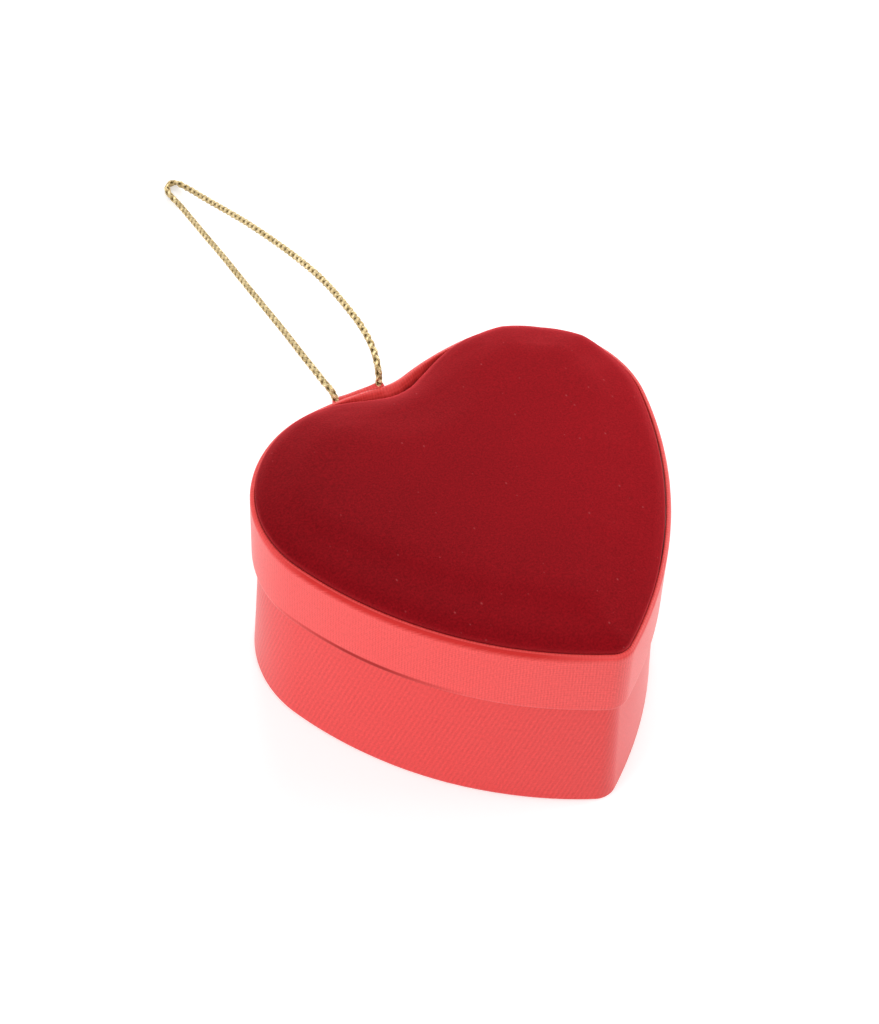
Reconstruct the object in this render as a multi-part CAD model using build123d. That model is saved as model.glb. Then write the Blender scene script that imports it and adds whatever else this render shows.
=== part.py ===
from build123d import *

import os
from math import cos, pi, radians, sin, sqrt, tan

# A small heart-shaped gift box: a satin-covered paperboard base, a lift-off lid with a velvet pad
# set down inside its rim, and a loop of cord held by a satin tab at the back of the lid.
# Millimetres, +Z up, heart tip towards -Y, standing on z = 0.

# Heart outline of the lid, as arcs that run tangent into each other
LOBE_RADIUS = 18.8
LOBE_X = 14.2
LOBE_Y = 12.2
SIDE_RADIUS = 67.25
SHARP_TIP_Y = LOBE_Y - 45.05
TIP_RADIUS = 3.66
LEAST_TIP_RADIUS = 0.6
SHOULDER_RADIUS = 48.0
SHOULDER_ANGLE = 88.0
NOTCH_RADIUS = 10.0

# Heights with the lid on
RIM_TOP = 37.9
BAND_HEIGHT = 13.2
PAD_RECESS = 2.2

# Sheet thicknesses
FOOT_COVER = 0.3
BASE_SATIN = 0.2
BASE_BOARD = 1.0
FLOOR_BOARD = 1.2
LINING = 0.2
LID_SATIN = 0.15
LID_RIM_BOARD = 0.5
LID_TOP_BOARD = 1.2
PAD_CARD = 0.8
VELVET = 0.5
VELVET_UNDER = 0.4

# Lean of the base wall, room for the lid, and turned edges
MOUTH_ROOM = 0.3
FOOT_ROUND = 0.6
BASE_TURN_IN = 8.0
FOOT_TURN_IN = 6.0
FOOT_COVER_INSET = 3.0
BAND_TURN_IN = 5.0
RIM_ROUND = 0.35

# Pad edge and crown: inset from the lid outline, and height over the rim
PAD_FLOOR_INSET = 1.15
PAD_PROFILE = [
    (0.95, -0.4),
    (0.95, 0.7),
    (1.2, 1.3),
    (1.7, 1.85),
    (2.6, 2.3),
    (4.2, 2.65),
    (7.0, 2.95),
    (10.5, 3.15),
    (15.0, 3.25),
]
PAD_CARD_INSET = 1.75
PAD_FIT = 0.02
VELVET_TURN_UNDER = 6.0

# Flaring hollow that the pad's edge is drawn back to at the notch: its radius in plan where the
# lid outline dips lowest, and the pad's inset there at its bottom and at its crown
DRAWN_RADIUS = 30.0
DRAWN_AT_BOTTOM = 1.3
DRAWN_AT_CROWN = 4.6

# Cord, and the tab that holds its ends
CORD_DIAMETER = 1.1
TAB_LEFT = -9.7
TAB_RIGHT = -0.55
TAB_THICKNESS = 1.35
TAB_TOP = 37.1
TAB_BOTTOM = 26.6
TAB_ROUND = 0.5
TAIL_END = 28.0
BEND_SHARE = 0.45

# Route of the free cord: out of the tab, back down to the table, round the fold, and back up
CORD_ROUTE = [
    (-1.7, 30.33, TAB_TOP),
    (-1.7, 30.33, 38.9),
    (-1.5, 31.0, 40.7),
    (-0.2, 34.2, 41.0),
    (1.5, 40.0, 39.6),
    (3.5, 47.8, 36.2),
    (6.4, 59.2, 30.4),
    (8.3, 70.3, 24.6),
    (9.6, 80.2, 19.4),
    (10.7, 90.5, 14.0),
    (11.4, 98.9, 9.4),
    (12.0, 107.4, 4.8),
    (12.4, 113.3, 1.8),
    (12.2, 116.1, 0.7),
    (11.7, 117.6, 0.6),
    (10.0, 117.8, 0.6),
    (9.1, 116.2, 0.6),
    (9.1, 114.5, 0.6),
    (9.2, 112.5, 0.8),
    (7.9, 106.0, 3.6),
    (5.8, 96.8, 8.0),
    (3.7, 87.5, 12.6),
    (1.2, 77.2, 17.6),
    (-1.7, 65.1, 23.6),
    (-4.5, 53.4, 29.4),
    (-7.0, 43.5, 34.2),
    (-8.4, 37.2, 37.3),
    (-8.9, 34.5, 38.9),
    (-8.85, 32.5, 39.5),
    (-8.75, 31.49, 38.6),
    (-8.75, 31.49, TAB_TOP),
]

# Heights that follow from the sheets
band_bottom = RIM_TOP - BAND_HEIGHT
top_board_top = RIM_TOP - PAD_RECESS
top_board_bottom = top_board_top - LID_TOP_BOARD
pad_top = RIM_TOP + PAD_PROFILE[-1][1]
base_top = top_board_bottom - LINING
wall_bottom = FOOT_COVER + BASE_SATIN
wall_top = base_top - BASE_SATIN
floor_top = wall_bottom + FLOOR_BOARD
turn_in_bottom = wall_top - BASE_TURN_IN
band_turn_top = band_bottom + LID_SATIN + BAND_TURN_IN

# Insets from the lid outline that follow from the sheets
lid_wall = 2 * LID_SATIN + LID_RIM_BOARD
wall_inside = BASE_SATIN + BASE_BOARD
lining_inside = wall_inside + LINING
lean = (lid_wall + MOUTH_ROOM) / (band_bottom - wall_bottom)

# Arc centres of the heart's right half, the same for every inset
lobe_centre = Vector(LOBE_X, LOBE_Y)
sharp_tip = Vector(0, SHARP_TIP_Y)
to_tip = sharp_tip - lobe_centre
lobe_to_side = SIDE_RADIUS - LOBE_RADIUS
along = (lobe_to_side**2 - SIDE_RADIUS**2 + to_tip.length**2) / (2 * to_tip.length)
across = sqrt(lobe_to_side**2 - along**2)
side_centre = lobe_centre + to_tip.normalized() * along
side_centre += to_tip.normalized().rotate(Axis.Z, -90) * across
shoulder_way = Vector(cos(radians(SHOULDER_ANGLE)), sin(radians(SHOULDER_ANGLE)))
shoulder_centre = lobe_centre - shoulder_way * (SHOULDER_RADIUS - LOBE_RADIUS)
shoulder_to_notch = SHOULDER_RADIUS + NOTCH_RADIUS
notch_y = shoulder_centre.Y + sqrt(shoulder_to_notch**2 - shoulder_centre.X**2)
notch_centre = Vector(0, notch_y)


def mirrored(point):
    return Vector(-point.X, point.Y)


def arc(start, end, centre):
    """An arc of under a half circle about a centre."""
    radius = (start - centre).length
    middle = centre + (start + end - centre * 2).normalized() * radius
    return ThreePointArc(start, middle, end)


def heart(inset, z):
    """Heart face at height z, parallel to the lid outline and inset inside it."""
    side_radius = SIDE_RADIUS - inset
    tip_radius = max(TIP_RADIUS - inset, LEAST_TIP_RADIUS)
    drop = sqrt((side_radius - tip_radius) ** 2 - side_centre.X**2)
    tip_centre = Vector(0, side_centre.Y - drop)
    tip_end = side_centre + (tip_centre - side_centre).normalized() * side_radius
    side_end = side_centre + (lobe_centre - side_centre).normalized() * side_radius
    lobe_end = lobe_centre + shoulder_way * (LOBE_RADIUS - inset)
    to_notch = (notch_centre - shoulder_centre).normalized()
    shoulder_end = shoulder_centre + to_notch * (SHOULDER_RADIUS - inset)
    outline = [
        arc(mirrored(tip_end), tip_end, tip_centre),
        arc(tip_end, side_end, side_centre),
        arc(side_end, lobe_end, lobe_centre),
        arc(lobe_end, shoulder_end, shoulder_centre),
        arc(shoulder_end, mirrored(shoulder_end), notch_centre),
        arc(mirrored(shoulder_end), mirrored(lobe_end), mirrored(shoulder_centre)),
        arc(mirrored(lobe_end), mirrored(side_end), mirrored(lobe_centre)),
        arc(mirrored(side_end), mirrored(tip_end), mirrored(side_centre)),
    ]
    return Pos(0, 0, z) * make_face(outline)


def upright(inset, low, high):
    """Heart block with straight walls."""
    return extrude(heart(inset, low), high - low)


def leaning(inset, low, high):
    """Heart block whose walls lean in like the base's."""
    faces = [heart(inset + lean * (z - wall_bottom), z) for z in (low, high)]
    return loft(faces, ruled=True)


def rounded_below(block, radius):
    """The block with its bottom edge rounded."""
    return fillet(block.faces().sort_by(Axis.Z)[0].edges(), radius)


def drawn_back(form, skin):
    """The form cut back at the notch, a skin's thickness inside the velvet's outer face."""
    low, high = (DRAWN_RADIUS + inset + skin for inset in (DRAWN_AT_BOTTOM, DRAWN_AT_CROWN))
    hollow = Cone(low, high, pad_top - top_board_top, align=(Align.CENTER, Align.CENTER, Align.MIN))
    return form - Pos(0, notch_y - NOTCH_RADIUS + DRAWN_RADIUS, top_board_top) * hollow


def pad_form(skin, bottom):
    """The pad's crowned form above a height, a skin's thickness inside the velvet's outer face."""
    floor = heart(PAD_FLOOR_INSET + skin, bottom)
    crown = [heart(inset + skin, RIM_TOP + height - skin) for inset, height in PAD_PROFILE]
    return drawn_back(loft([floor, *crown], ruled=True), skin)


def band_back(x):
    """y of the lid band's back face on the left shoulder and in the notch."""
    join_x = shoulder_centre.X * NOTCH_RADIUS / shoulder_to_notch
    if abs(x) < join_x:
        return notch_y - sqrt(NOTCH_RADIUS**2 - x**2)
    return shoulder_centre.Y + sqrt(SHOULDER_RADIUS**2 - (x + shoulder_centre.X) ** 2)


parts = {}

# Base: floor and wall boards
wall_outside = rounded_below(leaning(BASE_SATIN, wall_bottom, wall_top), FOOT_ROUND - BASE_SATIN)
wall_hollow = leaning(wall_inside, 0, RIM_TOP)
parts["base_floor_board"] = leaning(wall_inside, wall_bottom, floor_top)
parts["base_wall_board"] = wall_outside - wall_hollow

# Base: satin round the wall, turned in over the top edge and under the foot
satin_outside = rounded_below(leaning(0, FOOT_COVER, base_top), FOOT_ROUND)
turn_in = leaning(wall_inside, turn_in_bottom, wall_top)
mouth = leaning(lining_inside, turn_in_bottom, RIM_TOP)
under_window = upright(FOOT_TURN_IN, 0, wall_bottom)
parts["base_satin_wrap"] = satin_outside - wall_outside + turn_in - mouth - under_window
parts["base_foot_cover"] = upright(FOOT_COVER_INSET, 0, FOOT_COVER)

# Base: paper linings
parts["base_floor_lining"] = leaning(wall_inside, floor_top, floor_top + LINING)
lining_block = leaning(wall_inside, floor_top + LINING, turn_in_bottom)
parts["base_wall_lining"] = lining_block - leaning(lining_inside, floor_top, turn_in_bottom + LINING)

# Lid: boards
rim_outside = upright(LID_SATIN, band_bottom + LID_SATIN, RIM_TOP - LID_SATIN)
rim_inset = LID_SATIN + LID_RIM_BOARD
rim_hollow = upright(rim_inset, 0, RIM_TOP)
rim_board = rim_outside - rim_hollow
rim_board_top = rim_board.faces().sort_by(Axis.Z)[-1]
parts["lid_rim_board"] = fillet(rim_board_top.edges(), RIM_ROUND - LID_SATIN)
parts["lid_top_board"] = upright(rim_inset, top_board_bottom, top_board_top)

# Lid: satin band, rolled over the rim down to the top board and turned in below
band_block = upright(0, band_bottom, RIM_TOP) - upright(lid_wall, 0, RIM_TOP)
band_top = band_block.faces().sort_by(Axis.Z)[-1]
band_skin = fillet(band_top.edges(), RIM_ROUND) - parts["lid_rim_board"]
bare_inside = upright(rim_inset, band_turn_top, top_board_top)
parts["lid_satin_band"] = band_skin - bare_inside

# Lid: paper linings
lining_ring = upright(rim_inset, band_turn_top, top_board_bottom)
parts["lid_rim_lining"] = lining_ring - upright(lid_wall, 0, RIM_TOP)
parts["lid_underside_lining"] = upright(lid_wall, base_top, top_board_bottom)

# Lid: crowned pad, velvet over wadding on a card
card_bottom = top_board_top + VELVET_UNDER
card_top = card_bottom + PAD_CARD
velvet_window = upright(VELVET_TURN_UNDER, top_board_top, card_bottom)
card = upright(PAD_CARD_INSET, card_bottom, card_top)
parts["lid_pad_card"] = drawn_back(card, VELVET + PAD_FIT)
parts["lid_pad_wadding"] = pad_form(VELVET + PAD_FIT, card_top)
parts["lid_velvet_cover"] = pad_form(0, top_board_top) - pad_form(VELVET, card_bottom) - velvet_window

# Cord tab: a slice of a heart shell behind the left shoulder, holding the cord's two ends
tab_height = TAB_TOP - TAB_BOTTOM
shell = upright(-TAB_THICKNESS, TAB_BOTTOM, TAB_TOP) - upright(0, TAB_BOTTOM, TAB_TOP)
slot_place = Pos((TAB_LEFT + TAB_RIGHT) / 2, LOBE_Y + LOBE_RADIUS, TAB_BOTTOM)
slot = slot_place * extrude(Rectangle(TAB_RIGHT - TAB_LEFT, LOBE_RADIUS), tab_height)
tab = shell & slot
upright_edges = tab.edges().filter_by(Axis.Z).sort_by(Axis.X)
left_outer = upright_edges[:2].sort_by(Axis.Y)[-1]
right_outer = upright_edges[-2:].sort_by(Axis.Y)[-1]
tab = fillet([left_outer, right_outer], TAB_ROUND)
tail = extrude(Circle(CORD_DIAMETER / 2), TAB_TOP - TAIL_END)
tails = [Pos(x, y, TAIL_END) * tail for x, y, _ in (CORD_ROUTE[0], CORD_ROUTE[-1])]
parts["cord_tab"] = tab - tails[0] - tails[1]
parts["cord_tails"] = Compound(children=[Solid(t.solid().wrapped) for t in tails])

# Free cord: a tube along straight runs joined by arcs as large as the runs allow
route = [Vector(*point) for point in CORD_ROUTE]
runs = [end - start for start, end in zip(route, route[1:])]
bends = []
for before, after in zip(runs, runs[1:]):
    half_turn = radians(before.get_angle(after)) / 2
    bends.append(BEND_SHARE * min(before.length, after.length) / tan(half_turn))
print("cord bend radii", [round(radius, 1) for radius in bends])
path = FilletPolyline(*route, radius=bends)
section = Plane(origin=path @ 0, z_dir=path % 0) * Circle(CORD_DIAMETER / 2)
parts["hanging_cord"] = sweep(section, path=path)
expected = pi * CORD_DIAMETER**2 / 4 * path.length
print("cord length", round(path.length, 1))
print("cord volume over section times length", parts["hanging_cord"].volume / expected)
for x, y, _ in (CORD_ROUTE[0], CORD_ROUTE[-1]):
    print("cord end stands off the band by", round(y - band_back(x), 2))

os.makedirs("parts", exist_ok=True)
for name, part in parts.items():
    export_step(part, f"parts/{name}.step")
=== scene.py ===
import math

import bpy
import numpy as np
from mathutils import Matrix, Vector
from mathutils.kdtree import KDTree


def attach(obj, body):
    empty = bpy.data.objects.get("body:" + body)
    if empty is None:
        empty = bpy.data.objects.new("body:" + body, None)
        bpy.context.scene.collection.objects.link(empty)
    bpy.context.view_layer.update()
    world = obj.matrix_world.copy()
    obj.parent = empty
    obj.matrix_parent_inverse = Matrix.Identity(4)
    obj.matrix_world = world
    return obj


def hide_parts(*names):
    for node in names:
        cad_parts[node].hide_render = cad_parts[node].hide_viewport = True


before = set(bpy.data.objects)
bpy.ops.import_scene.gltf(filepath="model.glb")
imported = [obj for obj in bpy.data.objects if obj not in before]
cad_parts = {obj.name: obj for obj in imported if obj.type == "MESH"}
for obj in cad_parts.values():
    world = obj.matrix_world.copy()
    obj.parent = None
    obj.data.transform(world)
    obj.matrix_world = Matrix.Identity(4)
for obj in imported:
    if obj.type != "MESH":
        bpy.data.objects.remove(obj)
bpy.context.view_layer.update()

# Table, light and camera: a white table with a large soft lamp low on each side, weaker ones above
# and behind, seen from above and in front of the heart's left side through a long lens.
# The table is lifted to white for the eye, and still takes the box's shadow.
scene = bpy.context.scene
scene.view_settings.view_transform = "Standard"


def node(tree, kind, values=None, **settings):
    """A shader node with its settings, its inputs set to values or joined to other nodes."""
    made = tree.nodes.new(kind)
    for name, value in settings.items():
        setattr(made, name, value)
    for socket, value in (values or {}).items():
        if isinstance(value, bpy.types.NodeSocket):
            tree.links.new(value, made.inputs[socket])
        else:
            made.inputs[socket].default_value = value
    return made


def maths(tree, operation, first, second=0.0, third=0.0, clamp=False):
    """The result of a sum between two or three values."""
    values = {0: first, 1: second, 2: third}
    return node(tree, "ShaderNodeMath", values, operation=operation, use_clamp=clamp).outputs[0]


def empty_material(name):
    """A new material and its node tree, with nothing in it."""
    material = bpy.data.materials.new(name)
    material.use_nodes = True
    material.node_tree.nodes.clear()
    return material, material.node_tree


def seen_as_background(tree):
    """1 for the camera, and for what mirrors or glass show it."""
    path = node(tree, "ShaderNodeLightPath")
    seen = maths(tree, "ADD", path.outputs["Is Camera Ray"], path.outputs["Is Glossy Ray"])
    return maths(tree, "ADD", seen, path.outputs["Is Transmission Ray"], clamp=True)


table_half_width, table_lift = 3.0, 0.33
table_white = (0.86, 0.86, 0.86, 1)
table_mesh = bpy.data.meshes.new("table")
table_corners = [(-1, -1, 0), (1, -1, 0), (1, 1, 0), (-1, 1, 0)]
table_mesh.from_pydata([table_half_width * Vector(c) for c in table_corners], [], [(0, 1, 2, 3)])
table = bpy.data.objects.new("table", table_mesh)
scene.collection.objects.link(table)
table_material, tree = empty_material("white table")
table_paint = node(tree, "ShaderNodeBsdfDiffuse", {"Color": table_white})
table_seen = maths(tree, "MULTIPLY", seen_as_background(tree), table_lift)
table_glow = node(tree, "ShaderNodeEmission", {"Strength": table_seen})
table_shader = node(tree, "ShaderNodeAddShader", {0: table_paint.outputs[0], 1: table_glow.outputs[0]})
node(tree, "ShaderNodeOutputMaterial", {"Surface": table_shader.outputs[0]})
table_mesh.materials.append(table_material)

tent_fill = 0.40
world = bpy.data.worlds.new("tent")
world.use_nodes = True
tree = world.node_tree
tree.nodes.clear()
tent_strength = maths(tree, "MULTIPLY_ADD", seen_as_background(tree), 1 - tent_fill, tent_fill)
tent = node(tree, "ShaderNodeBackground", {"Color": (1, 1, 1, 1), "Strength": tent_strength})
node(tree, "ShaderNodeOutputWorld", {"Surface": tent.outputs[0]})
scene.world = world

lamp_aim = Vector((0, 0, 0.02))
for name, place, width, height, power in [
    ("lamp above", (-0.38, -0.62, 0.95), 0.8, 0.8, 4.1),
    ("lamp left", (-1.00, 0.00, 0.40), 0.8, 0.6, 7.0),
    ("lamp right", (0.98, -0.32, 0.40), 0.8, 0.6, 6.8),
    ("lamp behind", (0.26, 0.34, 0.22), 0.30, 0.25, 1.1),
]:
    lamp = bpy.data.objects.new(name, bpy.data.lights.new(name, "AREA"))
    lamp.data.shape, lamp.data.size, lamp.data.size_y = "RECTANGLE", width, height
    lamp.data.energy = power
    lamp.location = place
    lamp.rotation_euler = (lamp_aim - lamp.location).to_track_quat("-Z", "Y").to_euler()
    scene.collection.objects.link(lamp)

eye_turn, eye_rise, eye_roll = math.radians(-36.16), math.radians(51.45), math.radians(2.90)
eye_distance = 0.45881
eye_target = Vector((0.00506, 0.02203, 0.00990))
flat_share, rise_share = math.cos(eye_rise), math.sin(eye_rise)
eye_back = Vector((math.sin(eye_turn) * flat_share, -math.cos(eye_turn) * flat_share, rise_share))
level_right = Vector((math.cos(eye_turn), math.sin(eye_turn), 0))
level_up = eye_back.cross(level_right)
eye_right = level_right * math.cos(eye_roll) + level_up * math.sin(eye_roll)
eye_up = level_up * math.cos(eye_roll) - level_right * math.sin(eye_roll)
camera = bpy.data.objects.new("camera", bpy.data.cameras.new("camera"))
camera.data.sensor_width = 36.0
camera.data.lens = 99.7
camera.data.clip_start = 0.01
eye_frame = Matrix((eye_right, eye_up, eye_back)).transposed().to_4x4()
camera.matrix_world = Matrix.Translation(eye_target + eye_back * eye_distance) @ eye_frame
scene.collection.objects.link(camera)
scene.camera = camera

# Boards: the base's floor and wall, the lid's rim and top, and the pad's card.
# Grey recycled paperboard, cut and bent to the heart, all but hidden by its covers.
# The CAD solids stay, with a pulpy grey finish.
MM = 0.001


def noise(tree, place, scale, detail):
    """A cloudy value about a half, over a place."""
    values = {"Vector": place, "Scale": scale, "Detail": detail}
    return node(tree, "ShaderNodeTexNoise", values).outputs["Fac"]


def mixed(tree, share, first, second):
    """A colour a share of the way from one to another."""
    return node(tree, "ShaderNodeMix", {0: share, 6: first, 7: second}, data_type="RGBA").outputs[2]


def add_skin(tree, finish):
    """Ends a material in one skin with a given finish."""
    skin = node(tree, "ShaderNodeBsdfPrincipled", finish)
    node(tree, "ShaderNodeOutputMaterial", {"Surface": skin.outputs[0]})


def paper_grain():
    """Node group: the cloudy tone and fine tooth of board or paper, from a place in metres."""
    group = bpy.data.node_groups.new("paper grain", "ShaderNodeTree")
    for name in ("Cloud size", "Tooth size"):
        group.interface.new_socket(name, in_out="INPUT", socket_type="NodeSocketFloat")
    for name in ("Tone", "Tooth"):
        group.interface.new_socket(name, in_out="OUTPUT", socket_type="NodeSocketFloat")
    given = node(group, "NodeGroupInput")
    place = node(group, "ShaderNodeTexCoord").outputs["Object"]
    results = {}
    for name, size, detail in [("Tone", "Cloud size", 3.0), ("Tooth", "Tooth size", 5.0)]:
        scale = maths(group, "DIVIDE", 1.0, given.outputs[size])
        results[name] = noise(group, place, scale, detail)
    node(group, "NodeGroupOutput", results)
    return group


paper_grain_group = paper_grain()


def paper_material(name, dark, light, roughness, cloud, tooth, tooth_height):
    """Board, paper or wadding with a cloudy colour and a fine tooth."""
    cloud_gain, cloud_offset = 1.8, -0.4
    material, tree = empty_material(name)
    sizes = {"Cloud size": cloud, "Tooth size": tooth}
    grain = node(tree, "ShaderNodeGroup", sizes, node_tree=paper_grain_group)
    clouds = maths(tree, "MULTIPLY_ADD", grain.outputs["Tone"], cloud_gain, cloud_offset, clamp=True)
    colour = mixed(tree, clouds, dark, light)
    bump = node(tree, "ShaderNodeBump", {"Distance": tooth_height, "Height": grain.outputs["Tooth"]})
    add_skin(tree, {"Base Color": colour, "Roughness": roughness, "Normal": bump.outputs[0]})
    return material


def dress(names, material):
    """Gives CAD parts a finish."""
    for name in names:
        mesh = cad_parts[name].data
        mesh.materials.clear()
        mesh.materials.append(material)


greyboard = paper_material(
    "greyboard", dark=(0.22, 0.20, 0.17, 1), light=(0.36, 0.34, 0.30, 1),
    roughness=0.9, cloud=2.5 * MM, tooth=0.25 * MM, tooth_height=0.05 * MM,
)
dress(
    ["base_floor_board", "base_wall_board", "lid_rim_board", "lid_top_board", "lid_pad_card"],
    greyboard,
)

# Base satin: one strip of ribbed red satin glued round the wall board.
# It is turned under the foot, and turned in over the top edge inside the mouth.
# Its ends lap at the back, in the heart's notch; the ribs slant a little.
lobe_radius, lobe_x, lobe_y = 18.8 * MM, 14.2 * MM, 12.2 * MM
side_radius, tip_reach = 67.25 * MM, 45.05 * MM
tip_radius, least_tip_radius = 3.66 * MM, 0.6 * MM
shoulder_radius, shoulder_angle = 48.0 * MM, math.radians(88.0)
notch_radius = 10.0 * MM

lobe_centre = Vector((lobe_x, lobe_y))
to_tip = Vector((0, lobe_y - tip_reach)) - lobe_centre
lobe_to_side = side_radius - lobe_radius
along = (lobe_to_side**2 - side_radius**2 + to_tip.length**2) / (2 * to_tip.length)
across = math.sqrt(lobe_to_side**2 - along**2)
tip_way = to_tip.normalized()
side_centre = lobe_centre + tip_way * along + Vector((tip_way.y, -tip_way.x)) * across
shoulder_way = Vector((math.cos(shoulder_angle), math.sin(shoulder_angle)))
shoulder_centre = lobe_centre - shoulder_way * (shoulder_radius - lobe_radius)
shoulder_to_notch = shoulder_radius + notch_radius
notch_y = shoulder_centre.y + math.sqrt(shoulder_to_notch**2 - shoulder_centre.x**2)
notch_centre = Vector((0, notch_y))
notch_dip = notch_y - notch_radius
ring_step, least_arc_steps = 0.5 * MM, 6


def right_half_arcs(inset):
    """The right half's arcs from tip to notch: centre, radius, start and end angle."""
    side = side_radius - inset
    tip = max(tip_radius - inset, least_tip_radius)
    tip_centre = Vector((0, side_centre.y - math.sqrt((side - tip) ** 2 - side_centre.x**2)))

    def bearing(start, end):
        return math.atan2(end.y - start.y, end.x - start.x)

    tip_end = bearing(side_centre, tip_centre)
    side_end = bearing(side_centre, lobe_centre)
    to_notch = bearing(shoulder_centre, notch_centre)
    return [
        (tip_centre, tip, -math.pi / 2, tip_end),
        (side_centre, side, tip_end, side_end),
        (lobe_centre, lobe_radius - inset, side_end, shoulder_angle),
        (shoulder_centre, shoulder_radius - inset, shoulder_angle, to_notch),
        (notch_centre, notch_radius + inset, to_notch + math.pi, 3 * math.pi / 2),
    ]


arc_steps = [
    max(least_arc_steps, round(radius * abs(end - start) / ring_step))
    for _, radius, start, end in right_half_arcs(0)
]


def heart_ring(inset):
    """Points round a heart parallel to the lid outline, from the notch by the left lobe and back."""
    half = []
    for (centre, radius, start, end), steps in zip(right_half_arcs(inset), arc_steps):
        for k in range(steps):
            angle = start + (end - start) * k / steps
            half.append((centre.x + radius * math.cos(angle), centre.y + radius * math.sin(angle)))
    half.append((0.0, notch_dip - inset))
    half = np.array(half)
    left = half[::-1] * (-1, 1)
    return np.concatenate([left, half[1:-1]])


outline = heart_ring(0)
outline_step = np.linalg.norm(np.roll(outline, -1, axis=0) - outline, axis=1)
outline_run = np.concatenate([[0], np.cumsum(outline_step)])
ring_count = len(outline)
outward = heart_ring(-MM) - outline
outward /= np.linalg.norm(outward, axis=1)[:, None]


def set_cloth_run(mesh, run):
    """Keeps where each corner of the cloth lay in the flat strip, in metres."""
    layer = mesh.uv_layers.new(name="cloth_run")
    layer.data.foreach_set("uv", np.asarray(run, float).ravel())


def new_piece(name, mesh, body, material):
    """Puts a mesh in the scene as a smooth piece of the box."""
    piece = bpy.data.objects.new(name, mesh)
    scene.collection.objects.link(piece)
    mesh.materials.append(material)
    mesh.polygons.foreach_set("use_smooth", np.ones(len(mesh.polygons), bool))
    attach(piece, body)
    return piece


def way_along(profile):
    """How far along a closed profile each of its points lies."""
    closed = np.concatenate([profile, profile[:1]])
    return np.concatenate([[0], np.cumsum(np.linalg.norm(np.diff(closed, axis=0), axis=1))])


def wrapped_skin(name, profile, swell, lift=None):
    """A closed skin swept round the heart along a profile of (inset, height) points."""
    profile = np.array(profile)
    rows = len(profile)
    run = outline_run[None, :-1]
    rings = np.array([heart_ring(inset) for inset, _ in profile])
    rings += outward[None] * swell(run, profile)[:, :, None]
    heights = np.repeat(profile[:, 1, None], ring_count, axis=1)
    if lift is not None:
        heights = heights + lift(run, profile)
    points = np.concatenate([rings, heights[:, :, None]], axis=2).reshape(-1, 3)
    way = way_along(profile)
    inset, high = profile.T
    turned = np.sum(inset * np.roll(high, -1) - np.roll(inset, -1) * high) > 0
    order = [3, 2, 1, 0] if turned else [0, 1, 2, 3]
    faces, flat = [], []
    for j in range(rows):
        below, above = j * ring_count, (j + 1) % rows * ring_count
        for i in range(ring_count):
            k = (i + 1) % ring_count
            left, right = outline_run[i], outline_run[i + 1]
            corners = [below + i, below + k, above + k, above + i]
            places = [(left, way[j]), (right, way[j]), (right, way[j + 1]), (left, way[j + 1])]
            faces.append([corners[c] for c in order])
            flat += [places[c] for c in order]
    mesh = bpy.data.meshes.new(name)
    mesh.from_pydata(points, [], faces)
    set_cloth_run(mesh, flat)
    return mesh


def satin_weave():
    """Node group: the threads of a woven cloth, from its place in the flat strip."""
    sway, sway_scale = 0.28, 0.45
    bead_stretch, bead_scale, bead_gain, bead_least = 0.55, 1.3, 1.4, 0.1
    patch_scale, patch_gain, patch_offset = 260.0, 1.6, -0.1
    wave_height, middle_height = 0.30, 0.5
    fibre_stretch, fibre_scale, fibre_gain, fibre_offset = 0.35, 4200.0, 1.6, -0.8
    group = bpy.data.node_groups.new("satin weave", "ShaderNodeTree")
    group.interface.new_socket("Run", in_out="INPUT", socket_type="NodeSocketVector")
    for name in ("Warp pitch", "Weft pitch", "Slant", "Weft share"):
        group.interface.new_socket(name, in_out="INPUT", socket_type="NodeSocketFloat")
    for name in ("Height", "Tone"):
        group.interface.new_socket(name, in_out="OUTPUT", socket_type="NodeSocketFloat")
    given = node(group, "NodeGroupInput")
    place = node(group, "ShaderNodeSeparateXYZ", {0: given.outputs["Run"]})
    leaned = maths(group, "MULTIPLY", place.outputs["Y"], given.outputs["Slant"])
    straight = maths(group, "SUBTRACT", place.outputs["X"], leaned)
    warp = maths(group, "DIVIDE", straight, given.outputs["Warp pitch"])
    weft = maths(group, "DIVIDE", place.outputs["Y"], given.outputs["Weft pitch"])
    waves = []
    for turn, other in ((warp, weft), (weft, warp)):
        slow = maths(group, "MULTIPLY", other, bead_stretch)
        thread = node(group, "ShaderNodeCombineXYZ", {0: turn, 1: slow}).outputs[0]
        wander = noise(group, thread, sway_scale, detail=1.0)
        beads = noise(group, thread, bead_scale, detail=2.0)
        swayed = maths(group, "MULTIPLY_ADD", wander, sway, turn)
        wave = maths(group, "SINE", maths(group, "MULTIPLY", swayed, 2 * math.pi))
        strength = maths(group, "MULTIPLY_ADD", beads, bead_gain, bead_least, clamp=True)
        waves.append(maths(group, "MULTIPLY", wave, strength))
    both_waves = maths(group, "MULTIPLY_ADD", waves[1], given.outputs["Weft share"], waves[0])
    patch = noise(group, given.outputs["Run"], patch_scale, detail=1.0)
    patches = maths(group, "MULTIPLY_ADD", patch, patch_gain, patch_offset, clamp=True)
    patchy = maths(group, "MULTIPLY", both_waves, patches)
    height = maths(group, "MULTIPLY_ADD", patchy, wave_height, middle_height)
    upright = maths(group, "MULTIPLY", place.outputs["Y"], fibre_stretch)
    strands = node(group, "ShaderNodeCombineXYZ", {0: straight, 1: upright}).outputs[0]
    fibre = noise(group, strands, fibre_scale, detail=3.0)
    fibres = maths(group, "MULTIPLY_ADD", fibre, fibre_gain, fibre_offset)
    tone = maths(group, "ADD", fibres, height, clamp=True)
    node(group, "NodeGroupOutput", {"Height": height, "Tone": tone})
    return group


satin_weave_group = satin_weave()


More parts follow.
